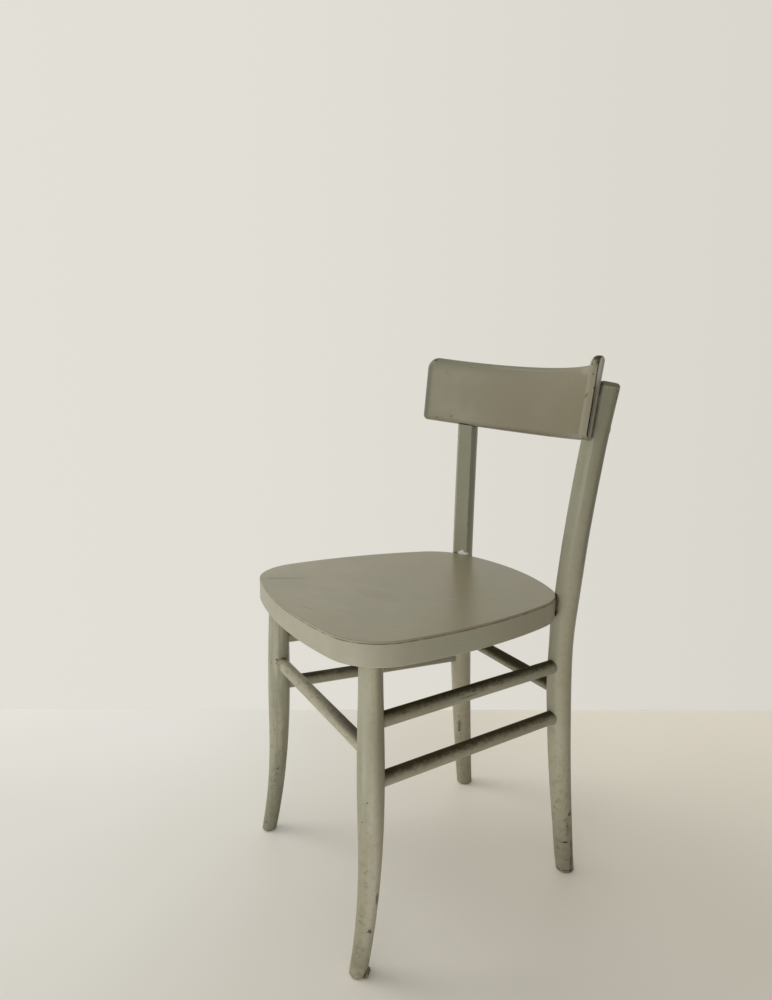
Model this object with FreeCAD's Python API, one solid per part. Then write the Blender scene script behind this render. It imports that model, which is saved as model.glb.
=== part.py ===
import FreeCAD
import Part
import math
import os

# A bentwood kitchen chair, painted all over. Lengths are in millimetres and angles in degrees.
# It faces -Y, its left and right are those of the person who sits in it, and it stands on z = 0.

# Seat: a thin plywood panel on a bent ring
seat_height = 458.0
seat_front_reach = 197.0
seat_rear_reach = 206.0
seat_half_width = 201.0
seat_widest_ahead = 68.0
seat_front_radius = 670.0
seat_front_corner = 81.0
seat_side_radius = 670.0
seat_rear_corner = 85.0
seat_rear_radius = 362.0
panel_thickness = 3.2
panel_edge_ease = 0.9
ring_height = 30.8
ring_width = 34.0
ring_edge_ease = 1.8
ring_bottom = seat_height - panel_thickness - ring_height

# Rear legs: each one bent piece from the foot to the backrest, planed flat above the seat
rear_post_rise = 308.0
rear_leg_inset = 66.3
rear_leg_tuck = 13.0
rear_waist_drop = 111.0
rear_foot_splay = 23.3
rear_foot_azimuth = 22.2
rear_foot_power = 1.63
rear_post_splay = 47.3
rear_post_azimuth = 44.4
rear_post_power = 1.555
rear_leg_radius = 18.5
rear_taper_shares = ((0.0, 0.75), (0.29, 0.85), (0.58, 0.935), (0.86, 1.0), (1.15, 0.97), (1.3, 0.96))
post_azimuth = 42.0
post_half_width = 17.3
post_back_depth = 19.6
post_round_depth = 22.0
post_flat_depth = 17.0
post_blend_length = 46.0
post_top_ease = 6.3
notch_relief = 2.8
notch_land_width = 12.0
rear_leg_height = seat_height + rear_post_rise
rear_leg_spread = seat_half_width - rear_leg_inset
rear_leg_back = seat_rear_reach - rear_leg_tuck
rear_waist_height = seat_height - rear_waist_drop

# Front legs: sabre legs with a swelling where the stretchers enter, tenoned into the ring
front_leg_inset = 32.3
front_leg_tuck = 55.3
front_lean_out = 8.2
front_lean_ahead = 5.0
front_sabre = 19.2
front_sabre_height = 230.0
front_sabre_power = 2.5
front_leg_radius = 18.0
front_taper_shares = ((0.0, 0.66), (0.165, 0.735), (0.354, 0.855), (0.542, 0.985), (0.64, 1.0),
                      (0.731, 0.985), (0.943, 0.875), (1.0, 0.86), (1.1, 0.86))
tenon_radius = 9.0
tenon_length = 20.0
glue_gap = 1.0
front_leg_spread = seat_half_width - front_leg_inset
front_leg_ahead = seat_front_reach - front_leg_tuck

# Foot pads, nailed on
pad_thickness = 2.5
pad_inset = 2.0
pad_edge_ease = 0.8
pad_nail_radius = 1.0
pad_nail_length = 16.0
pad_nail_head_radius = 3.0
pad_nail_head_height = 1.0
pad_nail_sink = 0.6

# Stretchers: plain rods glued into round sockets
stretcher_radius = 10.25
stretcher_end_stop = 4.5
stretcher_end_ease = 1.0
upper_stretcher_drop = 114.0
lower_stretcher_drop = 195.0
cross_stretcher_drop = 154.7

# Backrest: one curved board, let into the flat faces of the rear posts
back_radius = 244.5
back_thickness = 13.3
back_height = 110.6
back_bottom_angle = 54.8
back_top_angle = 56.4
back_lean = 10.0
back_rise = 218.4
back_set_in = 5.8
back_top_corner = 20.0
back_front_ease = 8.0
back_rear_ease = 1.4
back_corner_margin = 0.6
back_bottom_corner = back_front_ease + back_corner_margin
back_middle_z = seat_height + back_rise

# Wood screws that hold the backrest from behind, two to a post
back_screw_radius = 2.1
back_screw_length = 31.0
back_screw_head_radius = 4.4
back_screw_head_height = 2.6
back_screw_point = 5.0
back_screw_sink = 0.4
back_screw_shares = (0.22, 0.6)

# Coach screws that hold the ring to the rear legs from inside, each with a washer
coach_screw_radius = 3.5
coach_screw_length = 56.0
coach_screw_point = 7.0
coach_head_width = 10.0
coach_head_height = 5.0
washer_radius = 9.0
washer_thickness = 1.6
spot_face_radius = 10.2
spot_face_depth = 0.4
screw_clearance = 0.3

# Panel pins round the seat
panel_pin_radius = 0.9
panel_pin_length = 12.0
panel_pin_head_radius = 1.8
panel_pin_head_height = 0.8
panel_pin_count = 14

# Cuts run past the piece by this much, and edges are picked out to within the closeness
overrun = 12.0
closeness = 0.05

# Counts for the shapes
hexagon_sides = 6
leg_stations = 13
section_points = 24
rim_points = 5

ORIGIN = FreeCAD.Vector(0, 0, 0)
X_AXIS = FreeCAD.Vector(1, 0, 0)
Z_AXIS = FreeCAD.Vector(0, 0, 1)


def vector(x, y, z):
    return FreeCAD.Vector(x, y, z)


def direction(azimuth):
    """A level direction, with azimuth 0 to the rear (+Y) and 90 to the sitter's left (+X)."""
    return vector(math.sin(math.radians(azimuth)), math.cos(math.radians(azimuth)), 0)


def mirrored(shape):
    return shape.mirror(ORIGIN, X_AXIS)


def share_at(table, position):
    """The value of a table of shares at a position, in straight steps from row to row."""
    for (start, low), (end, high) in zip(table, table[1:]):
        if position <= end:
            return low + (high - low) * (position - start) / (end - start)
    return table[-1][1]


def rod(start, end, radius):
    """A round rod between two points."""
    return Part.makeCylinder(radius, (end - start).Length, start, end - start)


def turned(profile, start, axis):
    """A round piece turned from (radius, distance) pairs, standing at start and pointing along axis."""
    points = [vector(radius, 0, distance) for radius, distance in profile]
    face = Part.Face(Part.makePolygon(points + points[:1]))
    solid = face.revolve(ORIGIN, Z_AXIS)
    solid.Placement = FreeCAD.Placement(start, FreeCAD.Rotation(Z_AXIS, axis))
    return solid


# Seat outline: seven arcs that run into each other, with the corners as arcs inside their neighbours

def corner_centre(first, first_radius, second, second_radius, radius):
    """The centre of the arc of a given radius that touches two larger arcs from inside, on the +X side."""
    reach_first = first_radius - radius
    reach_second = second_radius - radius
    across = second - first
    along = (reach_first ** 2 - reach_second ** 2 + across.Length ** 2) / (2 * across.Length)
    aside = math.sqrt(reach_first ** 2 - along ** 2)
    unit = vector(across.x, across.y, 0).normalize()
    options = [first + unit * along + vector(-unit.y, unit.x, 0) * aside * side for side in (1, -1)]
    return max(options, key=lambda point: point.x)


front_centre = vector(0, seat_front_radius - seat_front_reach, 0)
side_centre = vector(seat_half_width - seat_side_radius, -seat_widest_ahead, 0)
rear_centre = vector(0, seat_rear_reach - seat_rear_radius, 0)
front_corner_centre = corner_centre(front_centre, seat_front_radius, side_centre, seat_side_radius,
                                    seat_front_corner)
rear_corner_centre = corner_centre(rear_centre, seat_rear_radius, side_centre, seat_side_radius,
                                   seat_rear_corner)


def seat_wire(inset, height):
    """The seat outline, inset all round, as a closed wire at a height."""
    def angle(centre, point):
        return math.atan2(point.y - centre.y, point.x - centre.x)

    turns = [-math.pi / 2,
             angle(front_centre, front_corner_centre), angle(side_centre, front_corner_centre),
             angle(side_centre, rear_corner_centre), angle(rear_centre, rear_corner_centre),
             math.pi / 2]
    arcs = [(front_centre, seat_front_radius), (front_corner_centre, seat_front_corner),
            (side_centre, seat_side_radius), (rear_corner_centre, seat_rear_corner),
            (rear_centre, seat_rear_radius)]
    edges = []
    for (centre, radius), start, end in zip(arcs, turns, turns[1:]):
        points = []
        for turn in (start, (start + end) / 2, end):
            spoke = vector(math.cos(turn), math.sin(turn), 0)
            points.append(centre + spoke * (radius - inset) + vector(0, 0, height))
        edges.append(Part.Arc(*points).toShape())
    return Part.Wire(Part.__sortEdges__(edges + [mirrored(edge) for edge in edges]))


def seat_prism(inset, bottom, top):
    return Part.Face(seat_wire(inset, bottom)).extrude(vector(0, 0, top - bottom))


def level_edges(shape, height):
    """The edges of a shape that lie wholly at a height."""
    def lies_there(edge):
        box = edge.BoundBox
        return abs(box.ZMin - height) < closeness and abs(box.ZMax - height) < closeness

    return [edge for edge in shape.Edges if lies_there(edge)]


# Leg centre lines

def rear_leg_centre(z):
    """The middle of a rear leg on the +X side at a height."""
    below = max(rear_waist_height - z, 0) / rear_waist_height
    above = max(z - rear_waist_height, 0) / (rear_leg_height - rear_waist_height)
    foot = direction(rear_foot_azimuth) * (rear_foot_splay * below ** rear_foot_power)
    post = direction(rear_post_azimuth) * (rear_post_splay * above ** rear_post_power)
    return vector(rear_leg_spread, rear_leg_back, z) + foot + post


def front_leg_centre(z):
    """The middle of a front leg on the +X side at a height."""
    lean = 1 - z / ring_bottom
    sabre = front_sabre * (max(front_sabre_height - z, 0) / front_sabre_height) ** front_sabre_power
    ahead = front_leg_ahead + front_lean_ahead * lean + sabre
    return vector(front_leg_spread + front_lean_out * lean, -ahead, z)


def section_wire(centre, azimuth, half_width, back, front):
    """A level oval round a centre: half_width to each side, back away from the seat, front towards it."""
    out = direction(azimuth)
    side = direction(azimuth + 90)
    points = []
    for step in range(section_points):
        turn = 2 * math.pi * step / section_points
        depth = back if math.sin(turn) > 0 else front
        points.append(centre + side * (half_width * math.cos(turn)) + out * (depth * math.sin(turn)))
    curve = Part.BSplineCurve()
    curve.interpolate(Points=points, PeriodicFlag=True)
    return Part.Wire(curve.toShape())


def station_heights(bottom, top):
    return [bottom + (top - bottom) * step / (leg_stations - 1) for step in range(leg_stations)]


# Board frame: its own z runs up the board, its y to the rear, and its origin is on the bend axis.
# The rear face of the board runs in front of the middle of each post by the set-in.

lean_turn = FreeCAD.Rotation(X_AXIS, -back_lean)
board_post = rear_leg_centre(back_middle_z)
post_reach = back_radius + back_thickness + back_set_in
post_ahead = math.sqrt(post_reach ** 2 - board_post.x ** 2) - back_radius
back_middle_y = board_post.y - post_ahead / math.cos(math.radians(back_lean))
board_place = FreeCAD.Placement(
    vector(0, back_middle_y, back_middle_z) - lean_turn.multVec(vector(0, back_radius, 0)), lean_turn)


def board_spoke(angle):
    """A direction out from the bend axis of the board, angle 0 being the middle of the board."""
    return vector(math.sin(math.radians(angle)), math.cos(math.radians(angle)), 0)


def board_blank():
    """The board before its screw holes, in its own frame."""
    outer = back_radius + back_thickness
    blank = Part.makeCylinder(outer, back_height).cut(Part.makeCylinder(back_radius, back_height))
    fan = []
    for height, angle in ((0, back_bottom_angle), (back_height, back_top_angle)):
        spread = outer * 2
        corners = [vector(0, 0, height), board_spoke(-angle) * spread + vector(0, 0, height),
                   board_spoke(angle) * spread + vector(0, 0, height)]
        fan.append(Part.makePolygon(corners + corners[:1]))
    board = blank.common(Part.makeLoft(fan, True, True))
    for height, radius in ((back_height, back_top_corner), (0, back_bottom_corner)):
        corners = [edge for edge in level_edges(board, height)
                   if abs(edge.Length - back_thickness) < closeness]
        board = board.makeFillet(radius, corners)
    for radius, ease in ((back_radius, back_front_ease), (back_radius + back_thickness, back_rear_ease)):
        board = board.makeFillet(ease, [edge for edge in board.Edges if lies_on_bend(edge, radius)])
    return board


def lies_on_bend(edge, radius):
    """True for an edge that keeps a radius from the bend axis all along, as the rim of a bent face does."""
    points = edge.discretize(Number=rim_points)
    return all(abs(math.hypot(point.x, point.y) - radius) < closeness for point in points)


def back_screws():
    """Start, direction and post angle of each backrest screw on the +X side, in world coordinates."""
    rows = []
    for share in back_screw_shares:
        height = back_middle_z + back_height * share
        local = board_place.inverse().multVec(rear_leg_centre(height))
        angle = math.degrees(math.atan2(local.x, local.y))
        radius = math.hypot(local.x, local.y) + post_back_depth - back_screw_sink
        start = board_place.multVec(board_spoke(angle) * radius + vector(0, 0, local.z))
        inward = lean_turn.multVec(board_spoke(angle) * -1)
        rows.append((start, inward))
    return rows


def back_screw_profile(clearance):
    """The outline of a countersunk wood screw from the rim of its head to its tip."""
    shank = back_screw_radius + clearance
    tip = back_screw_length + clearance
    return [(back_screw_head_radius + clearance, 0), (shank, back_screw_head_height),
            (shank, tip - back_screw_point), (0, tip)]


def back_screw(start, inward):
    return turned([(0, 0)] + back_screw_profile(0), start, inward)


def back_screw_hole(start, inward):
    """The countersunk hole of a backrest screw in a post, open to the rear."""
    profile = back_screw_profile(screw_clearance)
    return turned([(0, -overrun), (profile[0][0], -overrun)] + profile, start, inward)


# Coach screw line: from the rear corner of the ring, through the ring, into the leg

coach_height = ring_bottom + ring_height / 2
coach_direction = rear_leg_centre(coach_height) - rear_corner_centre - vector(0, 0, coach_height)
coach_direction.normalize()
coach_seat = (rear_corner_centre + vector(0, 0, coach_height)
              + coach_direction * (seat_rear_corner - ring_width + spot_face_depth))


def coach_screw():
    """The coach screw on the +X side, hexagon head first."""
    head_start = coach_seat - coach_direction * (washer_thickness + coach_head_height)
    reach = coach_head_width / 2 / math.cos(math.pi / hexagon_sides)
    corners = []
    for step in range(hexagon_sides):
        turn = 2 * math.pi * step / hexagon_sides
        corners.append(vector(reach * math.cos(turn), reach * math.sin(turn), 0))
    head = Part.Face(Part.makePolygon(corners + corners[:1])).extrude(vector(0, 0, coach_head_height))
    head.Placement = FreeCAD.Placement(head_start, FreeCAD.Rotation(Z_AXIS, coach_direction))
    shank_start = coach_seat - coach_direction * washer_thickness
    profile = [(0, 0), (coach_screw_radius, 0),
               (coach_screw_radius, coach_screw_length - coach_screw_point), (0, coach_screw_length)]
    return head.fuse(turned(profile, shank_start, coach_direction)).removeSplitter()


def coach_washer():
    start = coach_seat - coach_direction * washer_thickness
    disc = rod(start, coach_seat, washer_radius)
    hole = rod(start - coach_direction * overrun, coach_seat + coach_direction * overrun,
               coach_screw_radius + screw_clearance)
    return disc.cut(hole)


# Stretchers

def stretcher_lines():
    """Name and both leg centres of each stretcher."""
    rows = []
    for name, drop in (("upper", upper_stretcher_drop), ("lower", lower_stretcher_drop)):
        height = seat_height - drop
        front = front_leg_centre(height)
        rear = rear_leg_centre(height)
        rows.append((f"side_stretcher_{name}_left", front, rear))
        rows.append((f"side_stretcher_{name}_right", flipped(front), flipped(rear)))
    height = seat_height - cross_stretcher_drop
    for name, centre in (("front", front_leg_centre(height)), ("rear", rear_leg_centre(height))):
        rows.append((f"{name}_stretcher", centre, flipped(centre)))
    return rows


def flipped(point):
    return vector(-point.x, point.y, point.z)


def stretcher(start, end):
    """A rod that stops short of both leg centres, with eased ends."""
    along = (end - start).normalize()
    shape = rod(start + along * stretcher_end_stop, end - along * stretcher_end_stop, stretcher_radius)
    rims = [edge for edge in shape.Edges if edge.Closed]
    return shape.makeChamfer(stretcher_end_ease, rims)


def with_sockets(leg):
    """A leg on the +X side with a socket for every stretcher that reaches it."""
    for name, start, end in stretcher_lines():
        along = (end - start).normalize()
        stop = along * (stretcher_end_stop - glue_gap)
        leg = leg.cut(rod(start + stop, end - stop, stretcher_radius))
    return leg


# Feet

def foot_pad(centre, leg_radius):
    """A round pad under a leg, with the sunk hole of its nail."""
    floor = vector(centre.x, centre.y, 0)
    pad = Part.makeCylinder(leg_radius - pad_inset, pad_thickness, floor)
    pad = pad.makeFillet(pad_edge_ease, level_edges(pad, 0))
    return pad.cut(pad_nail(floor, 0)).cut(Part.makeCylinder(pad_nail_head_radius, pad_nail_sink, floor))


def pad_nail(floor, clearance):
    """The nail of a foot pad, head down."""
    head = pad_nail_head_radius
    shank = pad_nail_radius
    profile = [(0, pad_nail_sink), (head, pad_nail_sink), (head, pad_nail_sink + pad_nail_head_height),
               (shank, pad_nail_sink + pad_nail_head_height), (shank, pad_nail_length + clearance),
               (0, pad_nail_length + clearance)]
    return turned(profile, floor, Z_AXIS)


# Legs

def rear_leg():
    """The rear leg on the +X side: foot, waist, planed post, seat notch, board seat, holes."""
    wires = []
    flats = []
    for z in station_heights(pad_thickness, rear_leg_height + overrun):
        radius = rear_leg_radius * share_at(rear_taper_shares, z / rear_waist_height)
        blend = min(max((z - ring_bottom + overrun) / post_blend_length, 0), 1)
        post_sizes = (post_half_width, post_back_depth, post_round_depth)
        sizes = [radius + (size - radius) * blend for size in post_sizes]
        centre = rear_leg_centre(z)
        wires.append(section_wire(centre, post_azimuth, *sizes))
        flats.append(flat_wire(centre))
    leg = Part.makeLoft(wires, True, False)
    planed = Part.makeLoft(flats, True, False)
    above = seat_prism(-rear_leg_height, ring_bottom, rear_leg_height * 2)
    leg = leg.cut(planed.common(above))
    for tool in (seat_notch(), board_seat(), post_top_cut()):
        leg = leg.cut(tool)
    leg = ease_post_top(leg)
    leg = with_sockets(leg)
    leg = leg.cut(pad_nail(foot_floor(rear_leg_centre), glue_gap))
    leg = leg.cut(rod(coach_seat, coach_seat + coach_direction * (coach_screw_length + glue_gap),
                      coach_screw_radius))
    for start, inward in back_screws():
        leg = leg.cut(back_screw_hole(start, inward))
    return leg


def flat_wire(centre):
    """A level rectangle that covers what the plane takes off the seat side of a post."""
    out = direction(post_azimuth)
    side = direction(post_azimuth + 90) * (post_half_width + overrun)
    near = centre - out * post_flat_depth
    far = near - out * (post_round_depth + overrun)
    return Part.makePolygon([near - side, near + side, far + side, far - side, near - side])


def seat_notch():
    """What the seat takes from a post. The ring bears on a land in the middle and stands clear beside it."""
    corner = vector(0, -notch_land_width / 2, 0)
    land = Part.makeBox(coach_screw_length, notch_land_width, seat_height, corner)
    land.Placement = FreeCAD.Placement(vector(coach_seat.x, coach_seat.y, 0),
                                       FreeCAD.Rotation(X_AXIS, coach_direction))
    clear = seat_prism(-notch_relief, ring_bottom, seat_height).cut(land)
    return seat_prism(0, ring_bottom, seat_height).fuse(clear)


def board_seat():
    """The space that the board and all in front of it take from the posts."""
    tool = Part.makeCylinder(back_radius + back_thickness, back_height + overrun)
    tool.Placement = board_place
    return tool


def post_axis():
    """The way that the top of a post points."""
    return (rear_leg_centre(rear_leg_height) - rear_leg_centre(rear_leg_height - overrun)).normalize()


def post_top_cut():
    """Everything above the square-cut top of a post."""
    top = rear_leg_centre(rear_leg_height)
    return rod(top, top + post_axis() * (overrun * 4), post_back_depth + post_round_depth)


def ease_post_top(leg):
    """Rounds the rim of the post top."""
    top = rear_leg_centre(rear_leg_height)
    axis = post_axis()

    def on_top(edge):
        return all(abs((point - top).dot(axis)) < closeness for point in edge.discretize(Number=rim_points))

    return leg.makeFillet(post_top_ease, [edge for edge in leg.Edges if on_top(edge)])


def foot_floor(centre_line):
    foot = centre_line(0)
    return vector(foot.x, foot.y, 0)


def front_leg():
    """The front leg on the +X side, with its tenon, sockets and nail hole."""
    wires = []
    for z in station_heights(pad_thickness, ring_bottom):
        radius = front_leg_radius * share_at(front_taper_shares, z / ring_bottom)
        wires.append(section_wire(front_leg_centre(z), 0, radius, radius, radius))
    leg = Part.makeLoft(wires, True, False)
    top = front_leg_centre(ring_bottom)
    leg = leg.fuse(Part.makeCylinder(tenon_radius, tenon_length + overrun, top - vector(0, 0, overrun)))
    leg = with_sockets(leg)
    return leg.cut(pad_nail(foot_floor(front_leg_centre), glue_gap))


# Seat pieces

def both_sides(shape):
    return [shape, mirrored(shape)]


def seat_ring():
    """The bent ring, with the sockets of the front legs and the holes of the coach screws and pins."""
    top = seat_height - panel_thickness
    ring = seat_prism(0, ring_bottom, top).cut(seat_prism(ring_width, ring_bottom, top))
    ring = ring.makeFillet(ring_edge_ease, level_edges(ring, ring_bottom))
    socket = Part.makeCylinder(tenon_radius, tenon_length + glue_gap, front_leg_centre(ring_bottom))
    hole = rod(coach_seat - coach_direction * overrun, coach_seat + coach_direction * ring_width * 2,
               coach_screw_radius + screw_clearance)
    spot_face = rod(coach_seat - coach_direction * overrun, coach_seat, spot_face_radius)
    for tool in both_sides(socket) + both_sides(hole) + both_sides(spot_face) + panel_pins():
        ring = ring.cut(tool)
    return ring


def seat_panel():
    """The plywood panel with its eased top edge and the holes of its pins."""
    panel = seat_prism(0, seat_height - panel_thickness, seat_height)
    panel = panel.makeFillet(panel_edge_ease, level_edges(panel, seat_height))
    for pin in panel_pins():
        panel = panel.cut(pin)
    return panel


def panel_pins():
    """The pins round the seat, heads flush with the panel."""
    line = seat_wire(ring_width / 2, seat_height)
    head = panel_pin_head_radius
    shank = panel_pin_radius
    profile = [(0, 0), (head, 0), (head, panel_pin_head_height), (shank, panel_pin_head_height),
               (shank, panel_pin_length), (0, panel_pin_length)]
    points = line.discretize(Number=panel_pin_count + 1)[:-1]
    return [turned(profile, point, vector(0, 0, -1)) for point in points]


def backrest_board():
    board = board_blank()
    board.Placement = board_place
    for start, inward in back_screws():
        for screw in both_sides(back_screw(start, inward)):
            board = board.cut(screw)
    return board


# Assembly

def chair():
    """Every node of the chair, by name, in the working frame."""
    nodes = {
        "seat_panel": seat_panel(),
        "seat_ring": seat_ring(),
        "backrest_board": backrest_board(),
    }
    for name, shape in (("front_leg", front_leg()), ("rear_leg", rear_leg())):
        nodes[f"{name}_left"] = shape
        nodes[f"{name}_right"] = mirrored(shape)
    for name, start, end in stretcher_lines():
        nodes[name] = stretcher(start, end)
    nails = []
    for name, line, radius in (("front", front_leg_centre, front_leg_radius * front_taper_shares[0][1]),
                               ("rear", rear_leg_centre, rear_leg_radius * rear_taper_shares[0][1])):
        pad = foot_pad(line(0), radius)
        nodes[f"foot_pad_{name}_left"] = pad
        nodes[f"foot_pad_{name}_right"] = mirrored(pad)
        nails += both_sides(pad_nail(foot_floor(line), 0))
    nodes["foot_pad_nails"] = Part.makeCompound(nails)
    screws = []
    for start, inward in back_screws():
        screws += both_sides(back_screw(start, inward))
    nodes["backrest_screws"] = Part.makeCompound(screws)
    nodes["ring_coach_screws"] = Part.makeCompound(both_sides(coach_screw()))
    nodes["ring_washers"] = Part.makeCompound(both_sides(coach_washer()))
    nodes["panel_pins"] = Part.makeCompound(panel_pins())
    return nodes


def export(nodes):
    """Writes one file per node, with the origin under the middle of the chair's box."""
    os.makedirs("parts", exist_ok=True)
    box = Part.makeCompound(list(nodes.values())).optimalBoundingBox(False)
    shift = vector(0, -(box.YMin + box.YMax) / 2, 0)
    print("shift", round(shift.y, 3), "box", box)
    for name, shape in nodes.items():
        placed = shape.copy()
        placed.translate(shift)
        placed.exportStep(f"parts/{name}.step")
        solids = placed.Solids
        print(name, len(solids), placed.isValid(), round(sum(solid.Volume for solid in solids)))


export(chair())
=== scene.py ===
import math

import bpy
from mathutils import Matrix, Vector


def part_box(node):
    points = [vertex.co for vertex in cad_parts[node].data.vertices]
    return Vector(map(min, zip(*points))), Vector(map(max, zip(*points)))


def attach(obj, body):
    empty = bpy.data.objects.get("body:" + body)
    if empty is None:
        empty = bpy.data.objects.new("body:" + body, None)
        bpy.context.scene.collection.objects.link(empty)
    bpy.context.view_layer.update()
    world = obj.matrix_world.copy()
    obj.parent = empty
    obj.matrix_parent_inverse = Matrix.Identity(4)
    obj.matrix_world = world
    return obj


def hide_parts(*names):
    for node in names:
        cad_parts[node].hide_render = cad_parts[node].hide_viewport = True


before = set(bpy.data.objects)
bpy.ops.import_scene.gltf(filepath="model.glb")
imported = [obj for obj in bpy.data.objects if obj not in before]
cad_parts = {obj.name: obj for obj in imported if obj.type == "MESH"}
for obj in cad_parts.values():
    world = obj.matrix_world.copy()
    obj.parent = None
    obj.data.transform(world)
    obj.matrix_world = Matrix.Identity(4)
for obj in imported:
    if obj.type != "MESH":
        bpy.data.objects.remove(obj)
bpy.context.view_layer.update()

# A painted wooden chair. It faces -Y, +X is the left of the person who sits in it, lengths are in metres.

# Paint, wood and dirt, as linear colours; some also stand for painted light and shade
PAINT = (0.312, 0.290, 0.206)
PAINT_PALE = (0.348, 0.326, 0.242)
PAINT_DULL = (0.262, 0.240, 0.160)
PAINT_GREEN = (0.222, 0.225, 0.158)
PAINT_WARM = (0.280, 0.246, 0.155)
PAINT_SHADE = (0.165, 0.147, 0.096)
GRIME = (0.060, 0.050, 0.028)
ROD_DIRT_AND_SHADE = (0.046, 0.036, 0.013)
OLD_DIRT = (0.026, 0.020, 0.010)
LINE_DIRT = (0.012, 0.007, 0.002)
WORN_BROWN = (0.060, 0.042, 0.015)
BARE_WOOD = (0.115, 0.072, 0.016)
RING_PAINT = (0.322, 0.310, 0.238)
PALE_WORN = (0.420, 0.390, 0.280)
FAR_LEG_PAINTED_LIGHT = (0.435, 0.400, 0.285)
PALE_WOOD = (0.900, 0.880, 0.800)
SEAT_WARM = (0.260, 0.228, 0.133)
PAD_PLASTIC = (0.215, 0.192, 0.140)
PAD_DIRT = (0.030, 0.024, 0.014)
ZINC = (0.42, 0.41, 0.39)
ZINC_DULL = (0.20, 0.17, 0.13)

# How far the small forms of each finish stand out, or lie deeper where the number is negative
GRAIN_RELIEF = 0.00016
BRUSH_RELIEF = 0.00005
WAVE_RELIEF = 0.0010
SCRATCH_RELIEF = -0.00003
CHIP_RELIEF = -0.00004
SCRAPE_RELIEF = -0.00006
WORN_RELIEF = -0.00008
FLAKE_RELIEF = -0.0001
PAD_RELIEF = 0.0003
ZINC_RELIEF = 0.00004

# The way of the grain: how often it changes in a metre along X, Y and Z
ALONG_X = (14.0, 420.0, 420.0)
ALONG_Y = (420.0, 14.0, 420.0)
ALONG_Z = (420.0, 420.0, 14.0)
AROUND = (16.0, 16.0, 420.0)
SEAT_GRAIN = (240.0, 9.0, 240.0)
SEAT_GRAIN_TURN = 0.45
# How often the stretchers' dirt and painted shade change along and across them, in a metre
DIRT_AND_SHADE_ALONG = 26.0
DIRT_AND_SHADE_ACROSS = 150.0

# Sizes of marks
CHIP = 0.0015
EDGE_RADIUS = 0.0022
SCRATCH_WAYS = ((0.5, (900.0, 900.0, 55.0)), (-0.7, (700.0, 700.0, 40.0)), (1.4, (60.0, 800.0, 800.0)))

# Heights that the finishes follow, from the pieces themselves
SEAT_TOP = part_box("seat_panel")[1].z
PANEL_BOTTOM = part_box("seat_panel")[0].z
POST_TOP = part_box("rear_leg_left")[1].z

# Places on the legs: the way that their front sides look, which places their painted shade and highlight, and
# the near rear foot's rear edge and dark line
LEG_FRONT = (-0.46, -0.87, 0.0)
FOOT_REAR_EDGE = 0.1715
FOOT_LINE_HEIGHT = 0.0065

# The backrest board is bent round an axis that leans back. Its ends flare a little towards the top. Its
# reach is measured from that axis, and POST_STARTS from its end.
BEND_AXIS = (0.0, -0.0334, 0.7189)
BOARD_LEAN = math.radians(-10.0)
BOARD_BACK_REACH = 0.2578
BOARD_HEIGHT = 0.1106
BOARD_END_TURN = math.radians(54.8)
BOARD_FLARE = math.radians(1.6) / BOARD_HEIGHT
POST_STARTS = 0.0100


# ---------------- shader nodes

class Tree:
    """A short way to add shader nodes to a material or a group."""

    def __init__(self, tree):
        self.tree = tree

    def node(self, kind, inputs=None, **settings):
        made = self.tree.nodes.new("ShaderNode" + kind)
        for name, value in settings.items():
            setattr(made, name, value)
        for name, value in (inputs or {}).items():
            self.feed(made.inputs[name], value)
        return made

    def feed(self, socket, value):
        if isinstance(value, bpy.types.NodeSocket):
            self.tree.links.new(value, socket)
        else:
            socket.default_value = value

    def join(self, kind, *values, **settings):
        """The first output of a node whose sockets take the values in their order."""
        made = self.node(kind, **settings)
        for socket, value in zip(made.inputs, values):
            self.feed(socket, value)
        return made.outputs[0]

    def math(self, operation, first, second=0.0):
        return self.join("Math", first, second, operation=operation)

    def product(self, first, *others):
        for other in others:
            first = self.math("MULTIPLY", first, other)
        return first

    def vector_math(self, operation, first, second=(0.0, 0.0, 0.0)):
        made = self.node("VectorMath", operation=operation)
        self.feed(made.inputs[0], first)
        self.feed(made.inputs[1], second)
        return made.outputs["Value" if operation in ("LENGTH", "DOT_PRODUCT") else "Vector"]

    def split(self, vector):
        return self.node("SeparateXYZ", {"Vector": vector}).outputs

    def ramp(self, value, low, high, to_low=0.0, to_high=1.0):
        """A smooth way from to_low to to_high while the value goes from low to high."""
        made = self.node("MapRange", {"Value": value, "From Min": low, "From Max": high, "To Min": to_low,
                                      "To Max": to_high}, interpolation_type="SMOOTHSTEP")
        return made.outputs["Result"]

    def band(self, value, middle, outside, inside):
        """1 up to the inside distance from the middle, and 0 from the outside distance on."""
        return self.ramp(self.math("ABSOLUTE", self.math("SUBTRACT", value, middle)), outside, inside)

    def mix(self, share, first, second):
        made = self.node("Mix", data_type="RGBA", clamp_factor=True)
        for number, value in ((0, share), (6, first), (7, second)):
            self.feed(made.inputs[number], (*value, 1.0) if isinstance(value, tuple) else value)
        return made.outputs[2]

    def noise(self, vector, scale, detail, roughness):
        return self.node("TexNoise", {"Vector": vector, "Scale": scale, "Detail": detail,
                                      "Roughness": roughness}).outputs["Fac"]

    def mapping(self, vector, kind="POINT", at=(0, 0, 0), turn=(0, 0, 0), scale=(1, 1, 1)):
        return self.node("Mapping", {"Vector": vector, "Location": at, "Rotation": turn, "Scale": scale},
                         vector_type=kind).outputs["Vector"]


def new_group(name, vectors, numbers, outputs):
    """A node group and its Tree. It takes vectors and numbers, and puts out numbers, each by its name."""
    group = bpy.data.node_groups.new(name, "ShaderNodeTree")
    for names, way, kind in ((vectors, "INPUT", "Vector"), (numbers, "INPUT", "Float"),
                             (outputs, "OUTPUT", "Float")):
        for socket in names.split():
            group.interface.new_socket(socket, in_out=way, socket_type="NodeSocket" + kind)
    given, out = group.nodes.new("NodeGroupInput"), group.nodes.new("NodeGroupOutput")
    return group, Tree(group), given.outputs, out.inputs


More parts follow.
